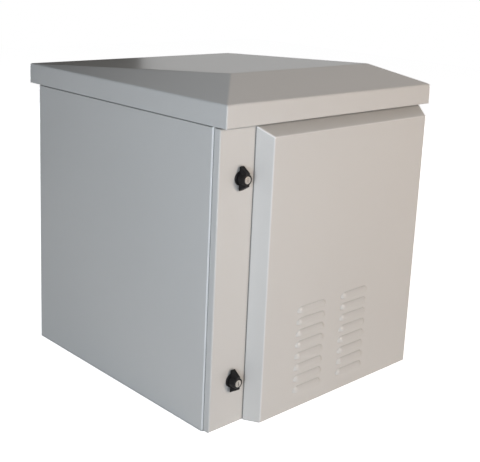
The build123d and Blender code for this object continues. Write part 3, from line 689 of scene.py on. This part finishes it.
def makeDoorCover():
    low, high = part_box("door_cover")
    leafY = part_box("door_leaf")[0].y
    faceY = leafY - doorCover["rise"]
    across, up = louvreLines()
    faceInset = bevelInset(doorCover["rise"]) + doorCover["faceMargin"]
    heelEdge = heelInset(doorCover["rise"]) + doorCover["faceMargin"]
    cells = [(x, louvreHood["bottom"] + row * louvreHood["pitch"])
             for x in louvreHood["columns"] for row in range(louvreHood["rows"])]
    xs = {low.x + faceInset, high.x - faceInset}
    zs = {low.z + heelEdge, high.z - faceInset}
    for x, z in cells:
        xs.update(round(x + step, 7) for step in across)
        zs.update(round(z + step, 7) for step in up)
    xs, zs = sorted(xs), sorted(zs)
    bm = bmesh.new()
    loops = [(0.0, doorCover["flange"], doorCover["flange"])]
    loops += [(depth, bevelInset(depth), heelInset(depth)) for depth in coverDepths()]
    rings = []
    for depth, side, foot in loops:
        outline = coverRing(low, high, side, foot, xs, zs)
        rings.append([bm.verts.new((x, leafY - depth, z)) for x, z in outline])
    bridgeRings(bm, rings)
    grid = {}

    def gridPoint(x, z):
        if (x, z) not in grid:
            grid[x, z] = bm.verts.new((x, faceY, z))
        return grid[x, z]

    def inCell(x, z):
        for cellX, cellZ in cells:
            if abs(x - cellX) < across[-1] and up[0] < z - cellZ < up[-1]:
                return True
        return False

    for x, nextX in zip(xs, xs[1:]):
        for z, nextZ in zip(zs, zs[1:]):
            if not inCell((x + nextX) / 2, (z + nextZ) / 2):
                bm.faces.new((gridPoint(x, z), gridPoint(nextX, z), gridPoint(nextX, nextZ),
                              gridPoint(x, nextZ)))
    steps = doorCover["hipSteps"] + 1
    border = [[gridPoint(xs[0], zs[0])] * steps, [gridPoint(x, zs[0]) for x in xs],
              [gridPoint(xs[-1], zs[0])] * steps, [gridPoint(xs[-1], z) for z in zs],
              [gridPoint(xs[-1], zs[-1])] * steps, [gridPoint(x, zs[-1]) for x in reversed(xs)],
              [gridPoint(xs[0], zs[-1])] * steps, [gridPoint(xs[0], z) for z in reversed(zs)]]
    border = [vert for run in border for vert in run]
    last = rings[-1]
    for place in range(len(last)):
        following = (place + 1) % len(last)
        if border[place] is border[following]:
            bm.faces.new((last[place], last[following], border[place]))
        else:
            bm.faces.new((last[place], last[following], border[following], border[place]))
    for x, z in cells:
        addLouvre(bm, x, z, faceY)
    bmesh.ops.remove_doubles(bm, verts=bm.verts, dist=weldGap)
    bmesh.ops.recalc_face_normals(bm, faces=bm.faces)
    mesh = meshFrom(bm, "doorCover")
    # painted highlight on the cover's hips and front folds
    markFoldHighlights(mesh, coverFoldHighlight(low, high, leafY))
    cover = addPiece("doorCover", mesh, "door", "grey_powder_coat", "door_cover")
    asSheetMetal(cover, doorCover["sheet"])
    addCoverStuds(cover.data, low, high, leafY)


makeDoorCover()
print("door cover pressed, louvres:", 2 * louvreHood["rows"])


# Wing knobs, moulded in one piece with their spindles

wingKnob = {"hubRadius": 11 * mm, "keyBore": 7.4 * mm, "boreDepth": 12.3 * mm,
            "rimRound": 1.0 * mm, "spindleBore": 0.4 * mm, "baseHalf": 23.5 * mm,
            "faceHalf": 13.5 * mm, "baseThick": 6.0 * mm, "faceThick": 5.3 * mm,
            "tipRound": 1.5 * mm, "tipSteps": 4, "tipShare": 0.5, "cornerShare": 0.9,
            "wingRoot": 4.3 * mm,
            "voxel": 0.4 * mm, "softPasses": 2, "softShare": 0.5, "collarGap": 0.3 * mm,
            "spindleRadius": 5 * mm, "spindleInset": 1 * mm, "squareHalf": 3.5 * mm,
            "squareLength": 3 * mm, "overlap": 0.5 * mm, "threadRadius": 3 * mm,
            "threadLength": 7.4 * mm, "threadPitch": 1 * mm, "creaseAngle": 40}


def roundedSection(halfWide, top, bottom, radius, steps=5):
    # closed line round a wing, with rounded corners
    points = []
    for cornerX, cornerZ, start in ((halfWide, top, 0), (-halfWide, top, 90),
                                    (-halfWide, bottom, 180), (halfWide, bottom, 270)):
        for step in range(steps + 1):
            angle = math.radians(start + 90 * step / steps)
            points.append((cornerX - math.copysign(radius, cornerX) + radius * math.cos(angle),
                           cornerZ - (radius if cornerZ == top else -radius)
                           + radius * math.sin(angle)))
    return points


def addWing(bm, side, rear, front):
    # lofted from the collar to the face, with a rounded front edge
    shape, steps = wingKnob, wingKnob["tipSteps"]
    roundness = shape["tipRound"]
    turns = [math.radians(90) * step / steps for step in range(steps + 1)]
    slices = [(0.0, 0.0, 0.0)]
    slices += [(1.0, roundness * shape["tipShare"] * (1 - math.cos(turn)),
                roundness * shape["tipShare"] * (1 - math.sin(turn))) for turn in turns]
    rings = []
    for share, pinch, setBack in slices:
        along = rear + (front - rear) * share + setBack
        reach = shape["baseHalf"] + (shape["faceHalf"] - shape["baseHalf"]) * share - pinch
        thick = shape["baseThick"] + (shape["faceThick"] - shape["baseThick"]) * share - pinch
        corner = min(roundness, thick * shape["cornerShare"])
        section = roundedSection(thick, reach, shape["wingRoot"], corner)
        rings.append([bm.verts.new((x, along, side * z)) for x, z in section])
    bridgeRings(bm, rings)
    bm.faces.new(rings[0])
    bm.faces.new(rings[-1])


def mouldedGrip(rear, front):
    # wings and hub fused by a fine remesh, so that their roots blend as in a moulding
    shape, rim = wingKnob, wingKnob["rimRound"]
    bm = bmesh.new()
    floor = front + shape["boreDepth"]
    hub = [(shape["keyBore"], front), (shape["hubRadius"] - rim, front),
           (shape["hubRadius"] - halfTurn * rim, front + halfTurn * rim),
           (shape["hubRadius"], front + rim), (shape["hubRadius"], rear),
           (shape["spindleBore"], rear), (shape["spindleBore"], floor),
           (shape["keyBore"], floor)]
    lathe(bm, hub, closed=True)
    for side in (-1, 1):
        addWing(bm, side, rear, front)
    bmesh.ops.recalc_face_normals(bm, faces=bm.faces)
    grip = addObject("grip", meshFrom(bm, "grip"))
    fuse = grip.modifiers.new("fuse", "REMESH")
    fuse.mode = "VOXEL"
    fuse.voxel_size = shape["voxel"]
    soften = grip.modifiers.new("soften", "SMOOTH")
    soften.factor = shape["softShare"]
    soften.iterations = shape["softPasses"]
    bakeModifiers(grip)
    mesh = grip.data
    bpy.data.objects.remove(grip)
    return mesh


def makeWingKnob(level):
    shape = wingKnob
    low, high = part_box(level + "_lock_knob")
    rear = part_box(level + "_lock_housing")[0].y - shape["collarGap"]
    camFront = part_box(level + "_lock_cam")[0].y
    centre = Vector(((low.x + high.x) / 2, 0, (low.z + high.z) / 2))
    bm = bmesh.new()
    bm.from_mesh(mouldedGrip(rear, low.y))
    radius, square, overlap = shape["spindleRadius"], shape["squareHalf"], shape["overlap"]
    lathe(bm, [(radius, rear - shape["spindleInset"]), (radius, camFront)])
    for vert in bmesh.ops.create_cube(bm, size=2 * square)["verts"]:
        vert.co.y = camFront + (shape["squareLength"] if vert.co.y > 0 else -overlap)
    threadedRod(bm, shape["threadRadius"], camFront + shape["squareLength"] - overlap,
                shape["threadLength"], shape["threadPitch"])
    bmesh.ops.translate(bm, verts=bm.verts, vec=centre)
    mesh = meshFrom(bm, level + "WingKnob")
    smoothUpTo(mesh, shape["creaseAngle"])
    addPiece(level + "WingKnob", mesh, level + "_knob", "black_plastic", level + "_lock_knob")


for lockLevel in ("lower", "upper"):
    makeWingKnob(lockLevel)
print("wing knobs moulded")


# Key cylinders, with the joint between the plug and its ring

keyCylinder = {"radius": 7.25 * mm, "edge": 0.6 * mm, "plugRadius": 4.9 * mm, "lip": 0.1 * mm,
               "jointWidth": 0.45 * mm, "jointDepth": 0.5 * mm, "dish": 0.15 * mm,
               "middle": 0.05 * mm, "slotWidth": 1.8 * mm, "slotHeight": 8 * mm,
               "slotDepth": 6 * mm, "steps": 72, "creaseAngle": 32}


def makeKeyCylinder(level):
    shape = keyCylinder
    low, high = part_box(level + "_key_cylinder")
    centre = Vector(((low.x + high.x) / 2, 0, (low.z + high.z) / 2))
    face, rear, lip = low.y, high.y, low.y + shape["lip"]
    radius, edge, plug = shape["radius"], shape["edge"], shape["plugRadius"]
    ring, joint = plug + shape["jointWidth"], face + shape["jointDepth"]
    profile = [(shape["middle"], face + shape["dish"]), (plug - edge, face), (plug, lip),
               (plug, joint), (ring, joint), (ring, lip), (radius - edge, face),
               (radius - halfTurn * edge, face + halfTurn * edge), (radius, face + edge),
               (radius, rear), (shape["middle"], rear)]
    bm = bmesh.new()
    lathe(bm, profile, steps=shape["steps"], closed=True)
    bmesh.ops.recalc_face_normals(bm, faces=bm.faces)
    turnedBody = addObject("turnedBody", meshFrom(bm, level + "KeyCylinder"))
    bm = bmesh.new()
    bmesh.ops.create_cube(bm, size=1)
    bmesh.ops.scale(bm, verts=bm.verts,
                    vec=(shape["slotWidth"], 2 * shape["slotDepth"], shape["slotHeight"]))
    bmesh.ops.translate(bm, vec=(0, face, 0), verts=bm.verts)
    keyway = addObject("keyway", meshFrom(bm, "keyway"))
    cut = turnedBody.modifiers.new("keyway", "BOOLEAN")
    cut.operation = "DIFFERENCE"
    cut.solver = "EXACT"
    cut.object = keyway
    bakeModifiers(turnedBody)
    mesh = turnedBody.data
    bpy.data.objects.remove(turnedBody)
    bpy.data.objects.remove(keyway)
    mesh.transform(Matrix.Translation(centre))
    smoothUpTo(mesh, shape["creaseAngle"])
    addPiece(level + "KeyCylinder", mesh, level + "_key", "nickel_plate",
             level + "_key_cylinder")


for lockLevel in ("lower", "upper"):
    makeKeyCylinder(lockLevel)
print("key cylinders turned")


# Earth stud on the floor of the cabinet

earthStud = {"collarRadius": 7 * mm, "collarHeight": 3 * mm, "collarEdge": 0.5 * mm,
             "radius": 4 * mm, "threadStart": 1.5 * mm, "pitch": 1.25 * mm,
             "creaseAngle": 40}


def makeEarthStud():
    shape = earthStud
    low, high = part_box("earth_stud")
    bm = bmesh.new()
    top, edge = shape["collarHeight"], shape["collarEdge"]
    lathe(bm, [(shape["collarRadius"], 0), (shape["collarRadius"], top - edge),
               (shape["collarRadius"] - edge, top)])
    start = shape["threadStart"]
    threadedRod(bm, shape["radius"], start, high.z - low.z - start, shape["pitch"])
    bmesh.ops.recalc_face_normals(bm, faces=bm.faces)
    mesh = meshFrom(bm, "earthStud")
    upright = Matrix.Rotation(math.radians(90), 4, "X")
    mesh.transform(Matrix.Translation(((low.x + high.x) / 2, (low.y + high.y) / 2, low.z))
                   @ upright)
    smoothUpTo(mesh, shape["creaseAngle"])
    addPiece("earthStud", mesh, "cabinet", "brass_plate", "earth_stud")


makeEarthStud()
print("earth stud threaded")


# Floor, backdrop, lamps and camera

studio = {"floorSize": 12, "floorShade": 0.85, "floorWhite": 0.96, "floorRoughness": 0.9,
          "glossyWhite": 0.8, "ambient": (0.03, 0.032, 0.034), "aimHeight": 0.33,
          "cardLeft": -0.9, "cardRight": 0.93, "cardY": 1.55, "cardFoot": 0.02,
          "cardHead": 1.6, "cardShade": 0.01}

# azimuth, elevation, distance, size, power and tint of each lamp
lamps = {"coolLamp": (53, 8.5, 2.7, 0.8, 32.6, (0.858, 0.913, 1.0)),
         "warmLamp": (-14, 18, 4.0, 1.4, 67.5, (1.0, 0.80, 0.66)),
         "topLamp": (40, 65, 3.0, 1.2, 3.0, (1.0, 1.0, 1.0)),
         "rearLamp": (186, 0, 3.4, 0.6, 42.0, (0.96, 0.99, 1.0)),
         "rightLamp": (268, 0, 3.4, 0.6, 34.0, (1.0, 0.98, 0.96))}


def whiteToCamera(tree, cameraWhite):
    # what the camera sees, a little less in glossy reflections, and none for other rays
    light = tree.nodes.new("ShaderNodeLightPath")
    level = light.outputs["Is Transmission Ray"]
    for ray, white in (("Is Camera Ray", cameraWhite), ("Is Glossy Ray", studio["glossyWhite"])):
        scaled = tree.nodes.new("ShaderNodeMath")
        scaled.operation = "MULTIPLY"
        scaled.inputs[1].default_value = white
        tree.links.new(light.outputs[ray], scaled.inputs[0])
        brighter = tree.nodes.new("ShaderNodeMath")
        brighter.operation = "MAXIMUM"
        tree.links.new(level, brighter.inputs[0])
        tree.links.new(scaled.outputs[0], brighter.inputs[1])
        level = brighter.outputs[0]
    return level


def makeWorld():
    world = bpy.data.worlds.new("paleRoom")
    bpy.context.scene.world = world
    world.use_nodes = True
    tree = world.node_tree
    background = tree.nodes["Background"]
    background.inputs["Color"].default_value = (*studio["ambient"], 1)
    white = tree.nodes.new("ShaderNodeBackground")
    white.inputs["Color"].default_value = (1, 1, 1, 1)
    mix = tree.nodes.new("ShaderNodeMixShader")
    tree.links.new(whiteToCamera(tree, 1.0), mix.inputs["Fac"])
    tree.links.new(background.outputs[0], mix.inputs[1])
    tree.links.new(white.outputs[0], mix.inputs[2])
    tree.links.new(mix.outputs[0], tree.nodes["World Output"].inputs["Surface"])


def flatSheet(name, corners, finish):
    mesh = bpy.data.meshes.new(name)
    mesh.from_pydata(corners, [], [(0, 1, 2, 3)])
    mesh.materials.append(finish)
    return addObject(name, mesh)


def makeFloor():
    finish, tree, shader = newFinish("paleFloor")
    shade = studio["floorShade"]
    shader.inputs["Base Color"].default_value = (shade, shade, shade, 1)
    shader.inputs["Roughness"].default_value = studio["floorRoughness"]
    shader.inputs["Specular IOR Level"].default_value = 0.0
    shader.inputs["Emission Color"].default_value = (1, 1, 1, 1)
    glow = whiteToCamera(tree, studio["floorWhite"])
    tree.links.new(glow, shader.inputs["Emission Strength"])
    half = studio["floorSize"] / 2
    floor = flatSheet("paleFloor", [(-half, -half, 0), (half, -half, 0), (half, half, 0),
                                    (-half, half, 0)], finish)


def addLamp(name, azimuth, elevation, distance, size, power, tint):
    # azimuth is counted from straight ahead of the door towards the cabinet's left
    aim = Vector((0, 0, studio["aimHeight"]))
    turn, tilt = math.radians(azimuth), math.radians(elevation)
    away = Vector((-math.sin(turn) * math.cos(tilt), -math.cos(turn) * math.cos(tilt),
                   math.sin(tilt)))
    lamp = bpy.data.lights.new(name, "AREA")
    lamp.size = size
    lamp.energy = power
    lamp.color = tint
    holder = addObject(name, lamp)
    holder.location = aim + away * distance
    holder.rotation_euler = away.to_track_quat("Z", "Y").to_euler()


def makeDarkCard():
    # dark end of the room, seen only as a reflection in the roof's rear slope
    finish, _, shader = newFinish("darkCard")
    shade = studio["cardShade"]
    shader.inputs["Base Color"].default_value = (shade, shade, shade, 1)
    shader.inputs["Roughness"].default_value = 1.0
    left, right, along = studio["cardLeft"], studio["cardRight"], studio["cardY"]
    foot, head = studio["cardFoot"], studio["cardHead"]
    card = flatSheet("darkCard", [(left, along, foot), (right, along, foot),
                                  (right, along, head), (left, along, head)], finish)
    card.visible_camera = False
    card.visible_diffuse = False
    card.visible_transmission = False
    card.visible_shadow = False


makeWorld()
makeFloor()
makeDarkCard()
for lampName, lampSettings in lamps.items():
    addLamp(lampName, *lampSettings)

cameraSeat = {"place": (-1.3744, -1.4708, 0.89713), "azimuth": -44.001, "drop": 13.506,
              "roll": 2.586, "focalPixels": 910.7, "shiftPixels": -55, "imageWidth": 480,
              "sensor": 36}


def makeCamera():
    turn, drop, roll = (math.radians(cameraSeat[key]) for key in ("azimuth", "drop", "roll"))
    ahead = Vector((-math.sin(turn) * math.cos(drop), math.cos(turn) * math.cos(drop),
                    -math.sin(drop)))
    level = Vector((math.cos(turn), math.sin(turn), 0))
    above = level.cross(ahead)
    right = math.cos(roll) * level + math.sin(roll) * above
    up = right.cross(ahead)
    lens = bpy.data.cameras.new("photoCamera")
    lens.sensor_width = cameraSeat["sensor"]
    lens.lens = cameraSeat["focalPixels"] * cameraSeat["sensor"] / cameraSeat["imageWidth"]
    lens.shift_y = cameraSeat["shiftPixels"] / cameraSeat["imageWidth"]
    camera = addObject("photoCamera", lens)
    camera.matrix_world = Matrix.Translation(cameraSeat["place"]) @ Matrix(
        (right, up, -ahead)).transposed().to_4x4()
    bpy.context.scene.camera = camera


makeCamera()
bpy.context.scene.view_settings.view_transform = "Standard"
print("studio and camera set")
